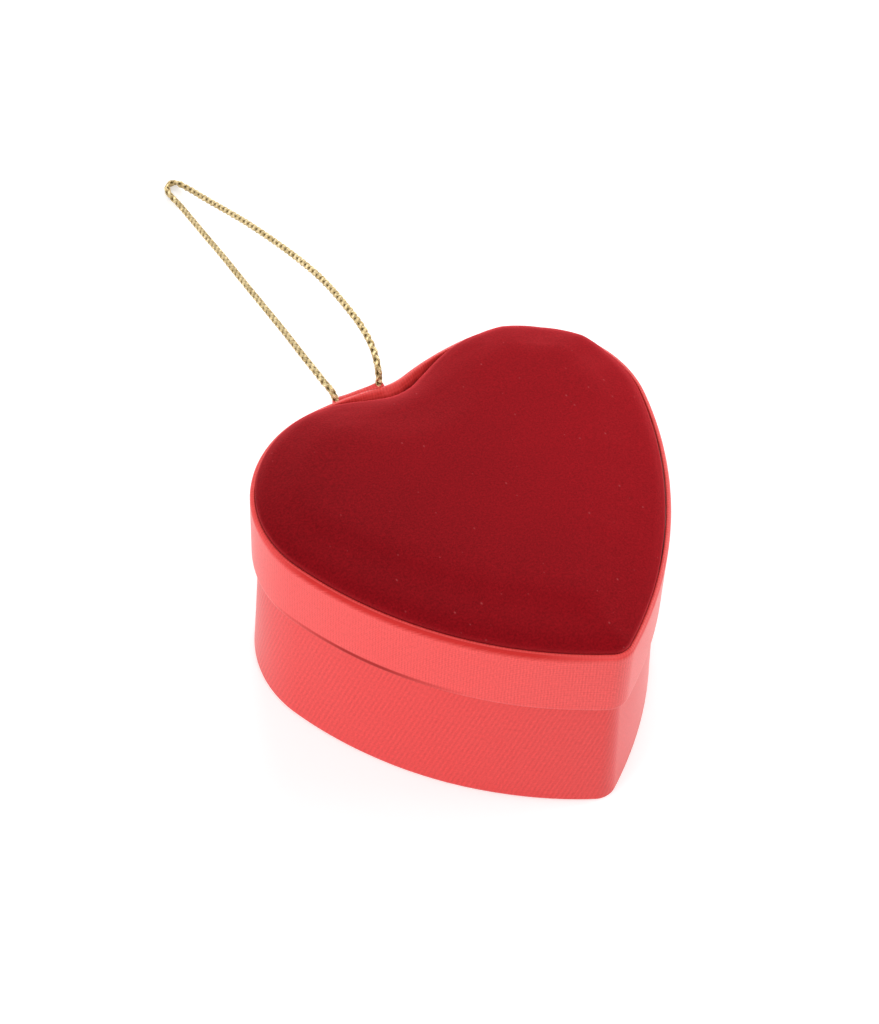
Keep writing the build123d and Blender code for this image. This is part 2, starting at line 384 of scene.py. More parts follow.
def lint_specks():
    """Node group: 1 where a speck of pale lint clings to cloth, from a place in metres."""
    stretch, least_size = (1.0, 0.7, 1.0), 0.4
    group = bpy.data.node_groups.new("lint specks", "ShaderNodeTree")
    for name in ("Spacing", "Size", "Share"):
        group.interface.new_socket(name, in_out="INPUT", socket_type="NodeSocketFloat")
    group.interface.new_socket("Lint", in_out="OUTPUT", socket_type="NodeSocketFloat")
    given = node(group, "NodeGroupInput")
    place = node(group, "ShaderNodeTexCoord").outputs["Object"]
    drawn_out = node(group, "ShaderNodeVectorMath", {0: place, 1: stretch}, operation="MULTIPLY")
    scale = maths(group, "DIVIDE", 1.0, given.outputs["Spacing"])
    cells = node(group, "ShaderNodeTexVoronoi", {"Vector": drawn_out.outputs[0], "Scale": scale})
    chance = node(group, "ShaderNodeSeparateColor", {0: cells.outputs["Color"]})
    reach = maths(group, "DIVIDE", given.outputs["Size"], given.outputs["Spacing"])
    reach = maths(group, "MULTIPLY", reach, maths(group, "ADD", chance.outputs[1], least_size))
    far = maths(group, "DIVIDE", cells.outputs["Distance"], reach)
    near = maths(group, "SUBTRACT", 1.0, far, clamp=True)
    kept = maths(group, "LESS_THAN", chance.outputs[0], given.outputs["Share"])
    node(group, "NodeGroupOutput", {"Lint": maths(group, "MULTIPLY", near, kept)})
    return group


lint_group = lint_specks()


def satin_nodes(tree, dark, light, threads, lint):
    """Colour and weave height of a satin with a little lint on it, and its flat place."""
    lint_colour = (0.85, 0.50, 0.46, 1)
    run = node(tree, "ShaderNodeUVMap", uv_map="cloth_run").outputs[0]
    weave = node(tree, "ShaderNodeGroup", {"Run": run, **threads}, node_tree=satin_weave_group)
    woven = mixed(tree, weave.outputs["Tone"], dark, light)
    specks = node(tree, "ShaderNodeGroup", lint, node_tree=lint_group)
    colour = mixed(tree, specks.outputs["Lint"], woven, lint_colour)
    return colour, weave.outputs["Height"], run


def add_satin_skin(tree, colour, height, depth, roughness, gloss):
    """The satin's shiny skin, with its threads raised."""
    bump = node(tree, "ShaderNodeBump", {"Distance": depth, "Height": height})
    finish = {
        "Base Color": colour,
        "Roughness": roughness,
        "Specular IOR Level": gloss,
        "Sheen Weight": 0.50,
        "Sheen Roughness": 0.24,
        "Sheen Tint": (1.0, 0.72, 0.70, 1),
        "Normal": bump.outputs[0],
    }
    add_skin(tree, finish)


def base_satin_material():
    """Ribbed satin: thick threads that slant a little from upright."""
    material, tree = empty_material("base satin")
    threads = {"Warp pitch": 0.77 * MM, "Weft pitch": 0.60 * MM, "Slant": 0.323, "Weft share": 0.2}
    lint = {"Spacing": 1.6 * MM, "Size": 0.16 * MM, "Share": 0.012}
    dark, light = (0.57, 0.023, 0.022, 1), (0.77, 0.048, 0.045, 1)
    colour, height, _ = satin_nodes(tree, dark, light, threads, lint)
    add_satin_skin(tree, colour, height, depth=0.035 * MM, roughness=0.45, gloss=0.45)
    return material


base_top, wall_bottom, band_bottom, lean_in = 34.3 * MM, 0.5 * MM, 24.7 * MM, 1.1 * MM
wall_lean = lean_in / (band_bottom - wall_bottom)
foot_height, foot_round, foot_turn_under = 0.3 * MM, 0.6 * MM, 3.4 * MM
base_satin_thick, mouth_inside, mouth_turn_in = 0.2 * MM, 1.4 * MM, 8.0 * MM
top_fold, fold_run = 0.3 * MM, 0.5 * MM


def leaning(inset, z):
    """A point of the leaning base wall."""
    return (inset + wall_lean * (z - wall_bottom), z)


def quarter(centre, radius, start, end, steps=6):
    """Points of a rounded corner of a profile, angles in degrees from outward to upward."""
    turns = np.radians(np.linspace(start, end, steps + 1))
    return [(centre[0] - radius * math.cos(t), centre[1] + radius * math.sin(t)) for t in turns]


def rise(inset, low, high, step=1.0 * MM):
    """Points up or down the base wall."""
    return [leaning(inset, z) for z in np.linspace(low, high, max(2, round(abs(high - low) / step)))]


wall_foot = foot_height + foot_round
foot_centre = leaning(foot_round, wall_foot)
fold_centre = leaning(top_fold, base_top - top_fold)
mouth_fold_centre = leaning(mouth_inside - top_fold, base_top - top_fold)
base_profile = [(foot_turn_under, foot_height)]
base_profile += quarter(foot_centre, foot_round, -90, 0)
base_profile += rise(0, wall_foot + fold_run, base_top - top_fold - fold_run)
base_profile += quarter(fold_centre, top_fold, 0, 90, steps=4)
base_profile += quarter(mouth_fold_centre, top_fold, 90, 180, steps=4)
base_profile += rise(mouth_inside, base_top - top_fold - fold_run, base_top - mouth_turn_in)
under_turn_in = mouth_inside - base_satin_thick
under_top = base_top - base_satin_thick
base_profile += rise(under_turn_in, base_top - mouth_turn_in, under_top, step=4 * MM)
base_profile += rise(base_satin_thick, under_top, wall_foot, step=4 * MM)
base_profile += quarter(foot_centre, foot_round - base_satin_thick, 0, -90, steps=4)[1:]
base_profile += [(foot_turn_under, wall_bottom)]


def slight_waves(run, z, sizes):
    """Waves of cloth that is glued not quite flat, from -1 to 1."""
    along_run, along_rise, up_rise, up_run = sizes
    return np.sin(run / along_run + z / along_rise) * np.sin(z / up_rise + run / up_run)


def base_swell(run, profile):
    """How far the satin lies off the board: slight waves, and the lapped end at the back."""
    wave_height, wave_sizes = 0.025 * MM, (4.1 * MM, 13 * MM, 4.7 * MM, 21 * MM)
    lap_from, lap_to, lap_height, outer_inset = 2 * MM, 8 * MM, 0.12 * MM, 1.6 * MM
    z = profile[:, 1, None]
    outside = (profile[:, 0, None] < outer_inset) & (z > foot_height)
    lap = (run > lap_from) & (run < lap_to)
    return outside * (wave_height * slight_waves(run, z, wave_sizes) + lap_height * lap)


base_satin = new_piece(
    "base_satin", wrapped_skin("base_satin", base_profile, base_swell), "base",
    base_satin_material(),
)
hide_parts("base_satin_wrap")

# Foot cover: a heart of plain red paper glued under the foot.
# It hides the turned-under edge of the satin, and the box stands on it.
# The CAD solid stays.
foot_paper = paper_material(
    "foot paper", dark=(0.46, 0.035, 0.034, 1), light=(0.56, 0.05, 0.046, 1),
    roughness=0.7, cloud=6.0 * MM, tooth=0.12 * MM, tooth_height=0.02 * MM,
)
dress(["base_foot_cover"], foot_paper)

# Linings: pale paper glued to the base's floor and walls, and inside the lid.
# They stop just short of the satin's turned edges.
# The CAD solids stay.
lining_paper = paper_material(
    "lining paper", dark=(0.74, 0.70, 0.63, 1), light=(0.82, 0.79, 0.73, 1),
    roughness=0.65, cloud=9.0 * MM, tooth=0.15 * MM, tooth_height=0.02 * MM,
)
dress(
    ["base_floor_lining", "base_wall_lining", "lid_rim_lining", "lid_underside_lining"],
    lining_paper,
)

# Lid satin: one band of plain-woven red satin round the rim board, its bottom edge turned in.
# It is rolled over the rim's top down to the pad, and leans in where it rounds the notch.
# Over the roll a deeper red is painted in as shade, with fine slanting marks along its lower edge; a
# painted shadow darkens the band's lower edge at the front left.
rim_top, lid_wall, pad_recess = 37.9 * MM, 0.8 * MM, 2.2 * MM
roll_width, roll_drop, inner_round = 0.58 * MM, 0.78 * MM, 0.2 * MM
band_turn_in, band_fold, band_thick = 5.0 * MM, 0.3 * MM, 0.15 * MM
round_gap, roll_gap, edge_gap = 0.1 * MM, 0.5 * MM, 2.6 * band_fold
roll_foot, band_inner = rim_top - roll_drop, lid_wall - band_thick
notch_lean, lean_depth, lean_width = 0.8, 1.25 * MM, 12.0 * MM


def plumb(inset, low, high, step=1.0 * MM):
    """Points straight up or down at an inset."""
    return [(inset, z) for z in np.linspace(low, high, max(2, round(abs(high - low) / step) + 1))]


def roll(width, drop, turns):
    """Points over the rim's rolled top, angles in degrees from outward to upward."""
    turns = np.radians(turns)
    return [(roll_width - width * math.cos(t), roll_foot + drop * math.sin(t)) for t in turns]


band_profile = plumb(lid_wall, rim_top - pad_recess, rim_top - inner_round - round_gap, step=0.4 * MM)
band_profile += quarter((lid_wall - inner_round, rim_top - inner_round), inner_round, 180, 90, steps=4)
roll_start = len(band_profile)
band_profile += roll(roll_width, roll_drop, np.linspace(80, 0, 9))
roll_end = len(band_profile)
band_profile += plumb(0, roll_foot - roll_gap, band_bottom + edge_gap)
edge_row = len(band_profile) - 1
band_profile += quarter((band_fold, band_bottom + band_fold), band_fold, 0, -90, steps=4)
band_profile += quarter((lid_wall - band_fold, band_bottom + band_fold), band_fold, -90, -180, steps=4)
band_profile += plumb(lid_wall, band_bottom + 2 * band_fold, band_bottom + band_turn_in)
band_profile += plumb(band_inner, band_bottom + band_turn_in, band_bottom + band_thick, step=3 * MM)
band_profile += plumb(band_thick, band_bottom + band_thick, roll_foot, step=4 * MM)
band_profile += roll(roll_width - band_thick, roll_drop - band_thick, np.linspace(20, 80, 4))
band_profile += plumb(band_inner, rim_top - 2 * band_thick, rim_top - pad_recess)
band_way = way_along(np.array(band_profile))
roll_crest, roll_ends, edge_start = band_way[[roll_start, roll_end, edge_row]]


def near_notch(width):
    """1 at the heart's notch, falling to 0 a width along the outline to each side."""
    from_notch = np.minimum(outline_run[:-1], outline_run[-1] - outline_run[:-1])
    return 0.5 + 0.5 * np.cos(math.pi * np.minimum(from_notch / width, 1))


def band_swell(run, profile):
    """Slight waves of the band's outer face, and its inner face leaning in at the notch."""
    wave_height, wave_sizes = 0.02 * MM, (3.7 * MM, 11 * MM, 4.3 * MM, 17 * MM)
    outer_inset, inner_inset, inner_foot = 0.12 * MM, 0.55 * MM, rim_top - pad_recess - 0.1 * MM
    gather_share, short_gather, long_gather = 0.2, 0.55 * MM, 1.3 * MM
    inset, z = profile[:, 0, None], profile[:, 1, None]
    outside = (inset < outer_inset) & (z < roll_foot)
    inside = (inset > inner_inset) & (z > inner_foot)
    gathers = 1 + gather_share * np.sin(run / short_gather) * np.sin(run / long_gather)
    lean = notch_lean * np.minimum(rim_top - z, lean_depth) * near_notch(lean_width) * gathers
    return outside * wave_height * slight_waves(run, z, wave_sizes) - inside * lean


def band_lift(run, profile):
    """The turned bottom edge isn't quite level."""
    wave_height, sag, long_wave, short_wave = 0.05 * MM, 0.6, 6.3 * MM, 2.9 * MM
    low = profile[:, 1, None] < band_bottom + 2 * band_fold
    return low * wave_height * (np.sin(run / long_wave) * np.sin(run / short_wave) - sag)


def lid_satin_material():
    """Plain-woven satin with painted shade in deeper red over the rim, and a painted shadow at its
    lower edge.
    """
    threads = {"Warp pitch": 0.48 * MM, "Weft pitch": 0.45 * MM, "Slant": 0.0, "Weft share": 0.9}
    lint = {"Spacing": 1.6 * MM, "Size": 0.14 * MM, "Share": 0.008}
    dark, light = (0.63, 0.033, 0.030, 1), (0.84, 0.065, 0.061, 1)
    # Two painted colours: a deeper red painted as shade over the rim's roll, and a darker red painted
    # as the shadow under the lid's lower edge.
    painted_shade_red, painted_shadow_red = (0.50, 0.008, 0.006, 1), (0.33, 0.004, 0.003, 1)
    hatch_pitch, hatch_slant, hatch_reach, hatch_fade = 0.45 * MM, 1.3, 0.8 * MM, 1.0 * MM
    hatch_start, start_fade, hatch_end = roll_crest + 0.06 * MM, 0.16 * MM, roll_ends - 0.20 * MM
    # Where round the rim the painted shade over the roll is strongest, and how far it reaches.
    painted_shade_middle, painted_shade_reach, painted_shade_fade, painted_shade_least = 70 * MM, 32 * MM, 14 * MM, 0.2
    edge_middle, edge_reach, edge_fade = edge_start + 0.7 * MM, 1.0 * MM, 0.25 * MM
    # Where round the rim the painted shadow along the lower edge lies: the front left, where the lid
    # overhangs the base.
    painted_shadow_middle, painted_shadow_reach, painted_shadow_fade = 62.0 * MM, 17.5 * MM, 14.0 * MM
    smooth, dull = 0.42, 0.87
    material, tree = empty_material("lid satin")

    def within(value, reach, fade):
        """1 well within a reach, falling to 0 at it."""
        return maths(tree, "DIVIDE", maths(tree, "SUBTRACT", reach, value), fade, clamp=True)

    def apart(value, middle):
        """How far a value is from a middle one."""
        return maths(tree, "ABSOLUTE", maths(tree, "SUBTRACT", value, middle))

    colour, height, run = satin_nodes(tree, dark, light, threads, lint)
    split = node(tree, "ShaderNodeSeparateXYZ", {0: run})
    round_rim, over_rim = split.outputs["X"], split.outputs["Y"]
    leaned = maths(tree, "MULTIPLY_ADD", over_rim, hatch_slant, round_rim)
    strokes = {"Scale": 1.0, "Detail": 1.0, "W": maths(tree, "DIVIDE", leaned, hatch_pitch)}
    ragged = node(tree, "ShaderNodeTexNoise", strokes, noise_dimensions="1D").outputs["Fac"]
    # The share of painted shade over the roll, with a ragged lower edge, strongest at the front left.
    reach = maths(tree, "MULTIPLY_ADD", ragged, hatch_reach, hatch_end)
    begun = maths(tree, "SUBTRACT", over_rim, hatch_start)
    begun = maths(tree, "DIVIDE", begun, start_fade, clamp=True)
    painted_shade_share = maths(tree, "MULTIPLY", within(over_rim, reach, hatch_fade), begun)
    sided = within(apart(round_rim, painted_shade_middle), painted_shade_reach, painted_shade_fade)
    painted_shade_share = maths(tree, "MULTIPLY", painted_shade_share, maths(tree, "MAXIMUM", sided, painted_shade_least))
    # A painted shadow along the band's lower edge, standing in for the shade under the lid's overhang.
    low = within(apart(over_rim, edge_middle), edge_reach, edge_fade)
    painted_shadow_along = within(apart(round_rim, painted_shadow_middle), painted_shadow_reach, painted_shadow_fade)
    painted_shadow_edge = maths(tree, "MULTIPLY", low, painted_shadow_along)
    colour = mixed(tree, painted_shadow_edge, mixed(tree, painted_shade_share, colour, painted_shade_red), painted_shadow_red)
    dulled = maths(tree, "MAXIMUM", painted_shadow_edge, painted_shade_share)
    roughness = maths(tree, "MULTIPLY_ADD", dulled, dull - smooth, smooth)
    add_satin_skin(tree, colour, height, depth=0.022 * MM, roughness=roughness, gloss=0.5)
    return material


lid_satin_finish = lid_satin_material()
lid_satin = new_piece(
    "lid_satin", wrapped_skin("lid_satin", band_profile, band_swell, band_lift), "lid",
    lid_satin_finish,
)
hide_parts("lid_satin_band")

# Wadding: a layer of white cotton wadding on the pad's card, under the velvet.
# It gives the pad its crown and soft edge, and is drawn down at the heart's notch.
# Nothing of it shows outside.
pad_edge_inset, pad_foot_inset = 0.84 * MM, 0.95 * MM
pad_edge_height, pad_foot = 0.7 * MM, rim_top - pad_recess
pad_roll_height, pad_roll_width = 1.4 * MM, 0.80 * MM
crown_height, crown_width, crown_span = 1.2 * MM, 5.5 * MM, 15.0 * MM
dip_depth, dip_width, dip_reach = 2.9 * MM, 17.0 * MM, 7.0 * MM
pad_slack, slack_from, slack_to, slack_fade = 0.55 * MM, 12.0 * MM, 30.0 * MM, 2.0 * MM
drawn_back, drawn_back_fade = notch_lean * lean_depth, 6.0 * MM
corner_turns, corner_fade = [12, 28, 50, 70, 82], 2.5 * MM
corner_pushes = [0, 0.44 * MM, 0.06 * MM, 0.27 * MM, 0]
velvet_thick, card_top = 0.52 * MM, 36.9 * MM


def pad_height(inner):
    """Height of the pad over the rim, a way in from its edge."""
    roll = pad_roll_height * (1 - math.exp(-inner / pad_roll_width))
    return pad_edge_height + roll + crown_height * (1 - math.exp(-inner / crown_width))


def pad_dip(inner):
    """How far the pad is drawn down near the notch, all round the heart."""
    return dip_depth * near_notch(dip_width) * max(0.0, 1 - inner / dip_reach) ** 2


def pad_corners():
    """How far the gathered corners stand out and up, all round the heart."""
    from_lobe = outline - np.array(lobe_centre)
    turns = np.degrees(np.arctan2(from_lobe[:, 1], from_lobe[:, 0]))
    return np.interp(turns, corner_turns, corner_pushes)


def pad_mesh(name, skin, bottom):
    """The pad's crowned closed form, a skin's thickness inside the velvet's face."""
    edge_ways = np.array([0, 0.08, 0.18, 0.3, 0.45]) * MM
    crown_ways = np.linspace(0.65 * MM, crown_span, 40)
    side_shares, side_power, least_side = (0.3, 0.6, 0.85), 4, 0.1 * MM
    edge_z = np.maximum(rim_top + pad_edge_height - pad_dip(0) - skin, bottom + least_side)
    levels = [(pad_foot_inset, np.full(ring_count, bottom), 0.0)]
    for share in side_shares:
        levels.append((pad_edge_inset, bottom + share * (edge_z - bottom), share**side_power))
    for way_in in np.concatenate([edge_ways, crown_ways]):
        z = rim_top + pad_height(way_in) - pad_dip(way_in) - skin
        levels.append((pad_edge_inset + way_in, np.maximum(z, edge_z), math.exp(-way_in / corner_fade)))
    slack = pad_slack * np.clip((outline[:, 0] - slack_from) / (slack_to - slack_from), 0, 1)
    pulled = drawn_back * near_notch(lean_width)
    points = []
    for inset, heights, share in levels:
        push = pad_corners() * share
        back = slack * math.exp(-inset / slack_fade)
        back = back + pulled * math.exp((pad_edge_inset - inset) / drawn_back_fade)
        ring = heart_ring(inset + skin) + outward * (push - back)[:, None]
        points += [(x, y, z) for (x, y), z in zip(ring, heights + push)]
    faces = []
    for j in range(len(levels) - 1):
        below, above = j * ring_count, (j + 1) * ring_count
        for i in range(ring_count):
            k = (i + 1) % ring_count
            faces.append((below + i, below + k, above + k, above + i))
    faces.append(tuple(range(ring_count))[::-1])
    faces.append(tuple(range((len(levels) - 1) * ring_count, len(levels) * ring_count)))
    mesh = bpy.data.meshes.new(name)
    mesh.from_pydata(points, [], faces)
    return mesh


cotton = paper_material(
    "cotton wadding", dark=(0.72, 0.71, 0.68, 1), light=(0.84, 0.83, 0.80, 1),
    roughness=1.0, cloud=1.5 * MM, tooth=0.2 * MM, tooth_height=0.15 * MM,
)
wadding_mesh = pad_mesh("pad_wadding", velvet_thick, card_top)
wadding = new_piece("pad_wadding", wadding_mesh, "lid", cotton)
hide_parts("lid_pad_wadding")

# Velvet pad: dark red velvet drawn over the wadding and card, turned under and glued.
# It sits down inside the lid's rim and swells above it, pulled in at the notch.
# Its short pile looks darkest head on and pale at its far edges; lint clings to it.


def velvet_material():
    """Short-pile velvet, with painted light making it paler towards the right lobe."""
    painted_light_rise, painted_light_start, stroke_scale, stroke_share = 6.0, -0.12, 60.0, 0.24
    pile_scale, pile_height = 3200.0, 0.03 * MM
    dark, light = (0.105, 0.0010, 0.0028, 1), (0.335, 0.0044, 0.0095, 1)
    lint = {"Spacing": 0.8 * MM, "Size": 0.15 * MM, "Share": 0.10}
    lint_colour = (0.36, 0.050, 0.055, 1)
    material, tree = empty_material("velvet")
    place = node(tree, "ShaderNodeTexCoord").outputs["Object"]
    strokes = noise(tree, place, stroke_scale, detail=2.0)
    pile = noise(tree, place, pile_scale, detail=3.0)
    split = node(tree, "ShaderNodeSeparateXYZ", {0: place})
    # Painted light: the colour grows paler towards the right lobe, standing in for light and sheen from
    # that side.
    painted_light_slope = maths(tree, "MULTIPLY_ADD", split.outputs["X"], painted_light_rise, painted_light_start)
    strokes_and_painted_light = maths(tree, "MULTIPLY_ADD", strokes, stroke_share, painted_light_slope)
    pile_and_painted_light = mixed(tree, maths(tree, "ADD", pile, strokes_and_painted_light, clamp=True), dark, light)
    specks = node(tree, "ShaderNodeGroup", lint, node_tree=lint_group)
    bump = node(tree, "ShaderNodeBump", {"Distance": pile_height, "Height": pile})
    finish = {
        "Base Color": mixed(tree, specks.outputs["Lint"], pile_and_painted_light, lint_colour),
        "Roughness": 0.95,
        "Specular IOR Level": 0.05,
        "Sheen Weight": 1.0,
        "Sheen Roughness": 0.44,
        "Sheen Tint": (1.0, 0.10, 0.115, 1),
        "Normal": bump.outputs[0],
    }
    add_skin(tree, finish)
    return material


def swollen(mesh, held_below, most):
    """Swells a pad's mesh as a cloth blown up from inside, held fast up to a height."""
    grown, voxel, frames = 10.0, 5.0 * MM, 20
    smoothed_over, freed_over, tiny = 80, 0.6 * MM, 1e-9
    blown_mesh = mesh.copy()
    blown_mesh.transform(Matrix.Scale(grown, 4))
    blown = bpy.data.objects.new("blown pad", blown_mesh)
    scene.collection.objects.link(blown)
    remesh = blown.modifiers.new("even", "REMESH")
    remesh.mode, remesh.voxel_size = "VOXEL", voxel
    depsgraph = bpy.context.evaluated_depsgraph_get()
    even = bpy.data.meshes.new_from_object(blown.evaluated_get(depsgraph))
    blown.modifiers.clear()
    blown.data = even
    bpy.data.meshes.remove(blown_mesh)
    rest = np.array([v.co for v in even.vertices])
    held = blown.vertex_groups.new(name="held")
    held.add(np.flatnonzero(rest[:, 2] < held_below * grown).tolist(), 1.0, "REPLACE")
    cloth = blown.modifiers.new("cloth", "CLOTH")
    cloth.settings.vertex_group_mass = "held"
    cloth.settings.use_pressure = True
    cloth.settings.uniform_pressure_force = 4.0
    cloth.settings.effector_weights.gravity = 0.0
    cloth.point_cache.frame_start, cloth.point_cache.frame_end = 1, frames
    for frame_number in range(1, frames + 1):
        scene.frame_set(frame_number)
    depsgraph = bpy.context.evaluated_depsgraph_get()
    puffed = blown.evaluated_get(depsgraph).to_mesh()
    moved = np.array([v.co for v in puffed.vertices]) - rest
    scene.frame_set(1)
    bpy.data.objects.remove(blown)
    bpy.data.meshes.remove(even)
    moved /= grown
    far = np.linalg.norm(moved, axis=1)[:, None]
    moved *= np.minimum(1, most / np.maximum(far, tiny))
    tree = KDTree(len(rest))
    for i, place in enumerate(rest):
        tree.insert(place / grown, i)
    tree.balance()
    for vertex in mesh.vertices:
        near = tree.find_n(vertex.co, smoothed_over)
        push = moved[[i for _, i, _ in near]].mean(axis=0)
        free = (vertex.co.z - held_below) / freed_over
        vertex.co += Vector(push) * min(1.0, max(0.0, free))


velvet_mesh = pad_mesh("velvet_pad", 0.0, pad_foot)
swollen(velvet_mesh, held_below=rim_top + 0.9 * MM, most=0.4 * MM)
velvet_pad = new_piece("velvet_pad", velvet_mesh, "lid", velvet_material())
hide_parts("lid_velvet_cover")

# Cord tab: a folded strip of the lid's satin glued behind the left shoulder.
# The two ends of the cord are clamped under it, and show as two soft ridges.
# Its top edge stands a little below the rim, and lower at its left end.
tab_left, tab_right, tab_thick = -9.4 * MM, -1.2 * MM, 1.35 * MM
tab_bottom, tab_top, tab_left_drop, tab_round = 26.6 * MM, 37.6 * MM, 0.7 * MM, 0.45 * MM
tail_places = [(-1.7 * MM, 30.33 * MM), (-8.75 * MM, 31.49 * MM)]
tab_hollow, tail_ridge = 0.22 * MM, 1.3 * MM


def back_of_band(x):
    """The point of the lid outline behind the left shoulder at x, and its outward direction."""
    join = shoulder_centre.x * notch_radius / shoulder_to_notch
    if abs(x) < join:
        foot = Vector((x, notch_y - math.sqrt(notch_radius**2 - x**2)))
        return foot, (notch_centre - foot).normalized()
    centre = Vector((-shoulder_centre.x, shoulder_centre.y))
    foot = Vector((x, centre.y + math.sqrt(shoulder_radius**2 - (x - centre.x) ** 2)))
    return foot, (foot - centre).normalized()


def lost_at_edge(distance):
    """How much of its thickness the pillowed strip has lost near its edge."""
    if distance >= tab_round:
        return 0.0
    return tab_round - math.sqrt(tab_round**2 - (tab_round - distance) ** 2)


def tab_mesh(name):
    """A pillowed strip that follows the back of the band."""
    edge = np.array([0, 0.04, 0.1, 0.2, 0.32, 0.45]) * MM
    edge_width, column_count, row_count = 0.7 * MM, 40, 24

    def stations(length, count):
        """Places across the strip, close together near its edges."""
        middle = np.linspace(edge_width, length - edge_width, count)
        return np.concatenate([edge, middle, length - edge[::-1]])

    span, tall = tab_right - tab_left, tab_top - tab_bottom
    columns, rows = stations(span, column_count), stations(tall, row_count)
    points, run = [], []
    for side in (0, 1):
        for v in rows:
            for u in columns:
                foot, out_way = back_of_band(tab_left + u)
                lost = max(lost_at_edge(min(u, span - u)), lost_at_edge(min(v, tall - v)))
                near = min(abs(tab_left + u - x) for x, _ in tail_places)
                hollow = tab_hollow * (1 - math.exp(-((near / tail_ridge) ** 2)))
                place = foot + out_way * side * (tab_thick - lost - hollow)
                drop = tab_left_drop * (1 - u / span) * v / tall
                points.append((place.x, place.y, tab_bottom + v - drop))
                run.append((u, v))
    wide, high = len(columns), len(rows)
    half = wide * high
    faces = []
    for j in range(high - 1):
        for i in range(wide - 1):
            a, d = j * wide + i, (j + 1) * wide + i
            faces.append((a, a + 1, d + 1, d))
            faces.append((half + d, half + d + 1, half + a + 1, half + a))
    border = list(range(wide)) + [j * wide + wide - 1 for j in range(1, high)]
    border += [(high - 1) * wide + i for i in range(wide - 2, -1, -1)]
    border += [j * wide for j in range(high - 2, 0, -1)]
    for a, b in zip(border, border[1:] + border[:1]):
        faces.append((b, a, half + a, half + b))
    mesh = bpy.data.meshes.new(name)
    mesh.from_pydata(points, [], faces)
    set_cloth_run(mesh, [(run[v][0], run[v][1] - tall) for face in faces for v in face])
    return mesh


tab = new_piece("cord_tab_satin", tab_mesh("cord_tab_satin"), "lid", lid_satin_finish)
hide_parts("cord_tab")

# Hanging cord: a limp gold cord of four plaited metallic strands, folded into a loop.
# Both ends are clamped in the tab; the loop rises from it and falls behind the box to the table.
# Short tails of the same plait run down inside the tab.
strand_radius, strand_flat, plait_radius = 0.300 * MM, 0.85, 0.280 * MM
plait_weave, plait_link = 0.075 * MM, 0.95 * MM
strand_sides, plait_step = 8, 0.10 * MM
cord_route = [
    (-0.0017, 0.03033, 0.0371),
    (-0.0017, 0.03033, 0.0389),
    (-0.0015, 0.0310, 0.0407),
    (-0.0002, 0.0342, 0.0410),
    (0.0015, 0.0400, 0.0396),
    (0.0035, 0.0478, 0.0362),
    (0.0064, 0.0592, 0.0304),
    (0.0083, 0.0703, 0.0246),
    (0.0096, 0.0802, 0.0194),
    (0.0107, 0.0905, 0.0140),
    (0.0114, 0.0989, 0.0094),
    (0.0120, 0.1074, 0.0048),
    (0.0124, 0.1133, 0.0018),
    (0.0122, 0.1161, 0.00072),
    (0.0117, 0.1176, 0.00065),
    (0.0100, 0.1178, 0.00065),
    (0.0091, 0.1162, 0.00065),
    (0.0091, 0.1145, 0.00065),
    (0.0092, 0.1125, 0.0008),
    (0.0079, 0.1060, 0.0036),
    (0.0058, 0.0968, 0.0080),
    (0.0037, 0.0875, 0.0126),
    (0.0012, 0.0772, 0.0176),
    (-0.0017, 0.0651, 0.0236),
    (-0.0045, 0.0534, 0.0294),
    (-0.0070, 0.0435, 0.0342),
    (-0.0084, 0.0372, 0.0370),
    (-0.0090, 0.0344, 0.0381),
    (-0.0090, 0.0319, 0.0384),
    (-0.00875, 0.03149, 0.0362),
]


def cord_line(route):
    """Points along the smooth line that a route gives, an even step apart."""
    curve = bpy.data.curves.new("cord line", "CURVE")
    curve.dimensions = "3D"
    spline = curve.splines.new("NURBS")
    spline.points.add(len(route) - 1)
    for point, place in zip(spline.points, route):
        point.co = (*place, 1)
    spline.order_u = 3
    spline.use_endpoint_u = True
    spline.resolution_u = 32
    line = bpy.data.objects.new("cord line", curve)
    scene.collection.objects.link(line)
    traced = bpy.data.meshes.new_from_object(line)
    points = np.array([v.co for v in traced.vertices])
    bpy.data.meshes.remove(traced)
    bpy.data.objects.remove(line)
    bpy.data.curves.remove(curve)
    gone = np.concatenate([[0], np.cumsum(np.linalg.norm(np.diff(points, axis=0), axis=1))])
    even = np.linspace(0, gone[-1], round(gone[-1] / plait_step) + 1)
    return np.stack([np.interp(even, gone, points[:, k]) for k in range(3)], axis=1)


def carried_frames(points):
    """Two directions across a line at each point, carried along it without twist."""
    first_across = (-0.42, 0.85, 0.1)
    ways = np.gradient(points, axis=0)
    ways /= np.linalg.norm(ways, axis=1)[:, None]
    side = np.cross(ways[0], first_across)
    sides = []
    for way in ways:
        side = side - way * side.dot(way)
        side = side / np.linalg.norm(side)
        sides.append(side)
    sides = np.array(sides)
    return sides, np.cross(ways, sides)


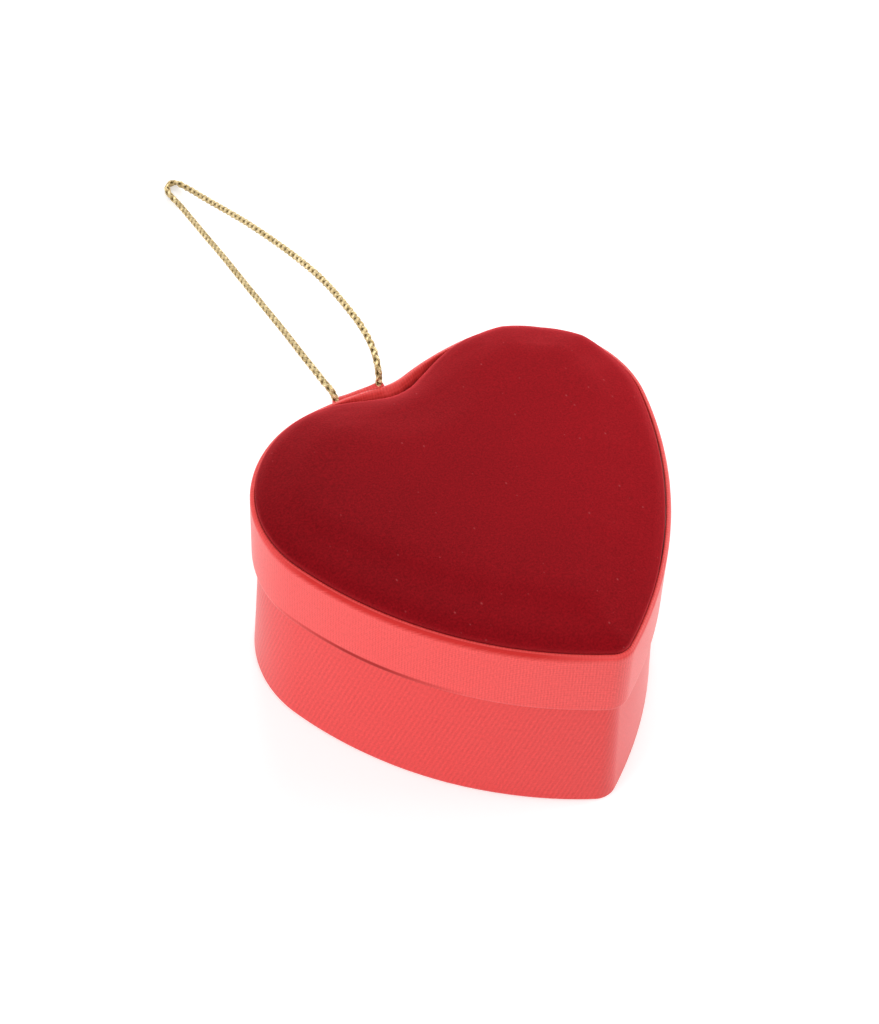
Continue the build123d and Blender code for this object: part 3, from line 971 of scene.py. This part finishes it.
def plait(lines, name):
    """Four strands plaited round each line, two each way, over and under by turns."""
    points, faces, run = [], [], []
    for line in lines:
        first, second = carried_frames(line)
        steps = len(line)
        gone = np.arange(steps) * plait_step
        turn = gone * math.pi / (2 * plait_link)
        for way in (1, -1):
            for half in (0, math.pi):
                angle = half + way * turn
                radius = plait_radius + way * plait_weave * np.cos(2 * turn)
                out = first * np.cos(angle)[:, None] + second * np.sin(angle)[:, None]
                centre = line + out * radius[:, None]
                ahead = np.gradient(centre, axis=0)
                ahead /= np.linalg.norm(ahead, axis=1)[:, None]
                level = np.cross(ahead, out)
                level /= np.linalg.norm(level, axis=1)[:, None]
                start = len(points)
                crest = []
                for k in range(strand_sides):
                    spin = 2 * math.pi * k / strand_sides
                    swung = math.cos(spin) * level + strand_flat * math.sin(spin) * out
                    edge = centre + strand_radius * swung
                    points += edge.tolist()
                    crest.append(np.linalg.norm(edge - line, axis=1))
                for k in range(strand_sides):
                    n = (k + 1) % strand_sides
                    this, other = start + k * steps, start + n * steps
                    for i in range(steps - 1):
                        faces.append((this + i, this + i + 1, other + i + 1, other + i))
                        run += [(gone[i], crest[k][i]), (gone[i + 1], crest[k][i + 1])]
                        run += [(gone[i + 1], crest[n][i + 1]), (gone[i], crest[n][i])]
                for i in (0, steps - 1):
                    cap = [start + k * steps + i for k in range(strand_sides)]
                    faces.append(tuple(cap[::-1] if i else cap))
                    run += [(gone[i], 0.0)] * strand_sides
    mesh = bpy.data.meshes.new(name)
    mesh.from_pydata(points, [], faces)
    set_cloth_run(mesh, run)
    return mesh


def gold_material():
    """Metallic yarn: thin gold film wound round a thread, with painted shade in dull brown down between
    the strands.
    """
    winding_pitch, winding_share, winding_height = 0.16 * MM, 0.12, 0.03 * MM
    patch_scale, patch_gain, patch_offset = 1100.0, 3.0, -1.0
    dull, bright, painted_shade_brown = (0.42, 0.305, 0.13, 1), (0.78, 0.63, 0.36, 1), (0.19, 0.130, 0.050, 1)
    sunk, proud = 0.36 * MM, 0.55 * MM
    material, tree = empty_material("gold yarn")
    run = node(tree, "ShaderNodeUVMap", uv_map="cloth_run").outputs[0]
    split = node(tree, "ShaderNodeSeparateXYZ", {0: run})
    wound = maths(tree, "DIVIDE", split.outputs["X"], winding_pitch)
    ridge = maths(tree, "SINE", maths(tree, "MULTIPLY", wound, 2 * math.pi))
    place = node(tree, "ShaderNodeTexCoord").outputs["Object"]
    patches = noise(tree, place, patch_scale, detail=2.0)
    tone = maths(tree, "MULTIPLY_ADD", patches, patch_gain, patch_offset)
    tone = maths(tree, "MULTIPLY_ADD", ridge, winding_share, tone, clamp=True)
    # Painted shade: deep between the strands the colour turns to dull brown.
    depth = maths(tree, "SUBTRACT", split.outputs["Y"], sunk)
    raised = maths(tree, "DIVIDE", depth, proud - sunk, clamp=True)
    bump = node(tree, "ShaderNodeBump", {"Distance": winding_height, "Height": ridge})
    finish = {
        "Base Color": mixed(tree, raised, painted_shade_brown, mixed(tree, tone, dull, bright)),
        "Metallic": 1.0,
        "Roughness": 0.28,
        "Normal": bump.outputs[0],
    }
    add_skin(tree, finish)
    return material


gold_yarn = gold_material()
loop_line = cord_line(cord_route)
loop_mesh = plait([loop_line], "cord_loop")
hanging_cord = new_piece("cord_loop", loop_mesh, "lid", gold_yarn)
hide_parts("hanging_cord")

tail_end, tail_steps = 28.0 * MM, 90
tail_lines = [
    np.array([(x, y, z) for z in np.linspace(tail_end, top, tail_steps)])
    for (x, y), top in zip(tail_places, (cord_route[0][2], cord_route[-1][2]))
]
tail_mesh = plait(tail_lines, "cord_tail_plaits")
cord_tails = new_piece("cord_tail_plaits", tail_mesh, "lid", gold_yarn)
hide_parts("cord_tails")
